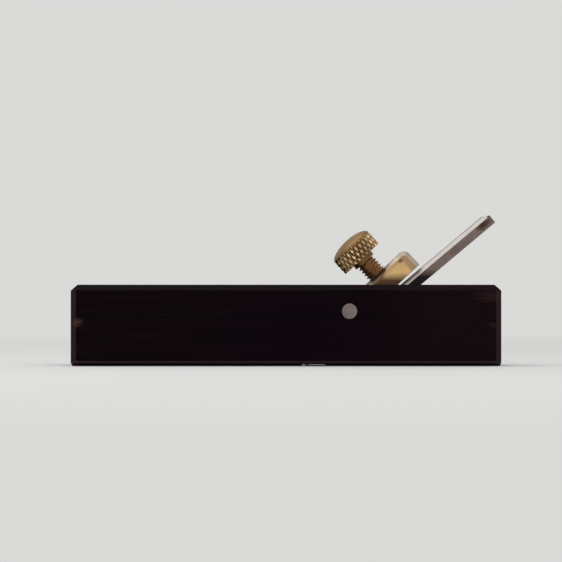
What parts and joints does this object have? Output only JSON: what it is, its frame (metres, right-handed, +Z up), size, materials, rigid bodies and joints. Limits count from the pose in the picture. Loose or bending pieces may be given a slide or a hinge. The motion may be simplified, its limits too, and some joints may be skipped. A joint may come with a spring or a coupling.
{
  "type": "round plane",
  "caption": "Small dark wooden hand plane with a convex sole, a thick sloping iron, and a brass lever cap tightened by a knurled thumb screw.",
  "frame": {"origin": "middle of the sole's lowest line, under the centre of the body", "axes": "+X from the toe to the heel, +Y to the right-hand side of a person planing towards the toe, +Z up"},
  "size_m": [0.165, 0.024, 0.0579],
  "materials": {
    "body_wood": "satin",
    "pin_steel": "satin",
    "iron_steel": "satin",
    "cap_brass": "satin",
    "screw_brass": "satin"
  },
  "bodies": {
    "body": {"left_cheek": "body_wood", "right_cheek": "body_wood", "front_block": "body_wood", "rear_block": "body_wood", "cross_pin": "pin_steel"},
    "cutter": {"iron": "iron_steel"},
    "lever": {"lever_cap": "cap_brass"},
    "screw": {"thumb_screw_shank": "screw_brass"},
    "knob": {"thumb_screw_knob": "screw_brass"}
  },
  "joints": [
    {"name": "iron_slide", "type": "slide", "parent": "body", "child": "cutter", "axis": [0.766, 0, 0.6428], "range_m": [-0.0008, 0.045]},
    {"name": "lever_tilt", "type": "hinge", "parent": "body", "child": "lever", "pos_m": [0.02431, 0, 0.02106], "axis": [0, 1, 0], "range_deg": [0, 1.3]},
    {"name": "screw_travel", "type": "slide", "parent": "lever", "child": "screw", "axis": [-0.682, 0, 0.7314], "range_m": [-0.00042, 0.00566]},
    {"name": "screw_turn", "type": "hinge", "parent": "screw", "child": "knob", "pos_m": [0.03711, 0, 0.033], "axis": [-0.682, 0, 0.7314], "range_deg": [-107.5, 1445]}
  ],
  "couplings": [
    {"joint": "screw_turn", "follows": "screw_travel", "rad_per_m": 4453}
  ]
}
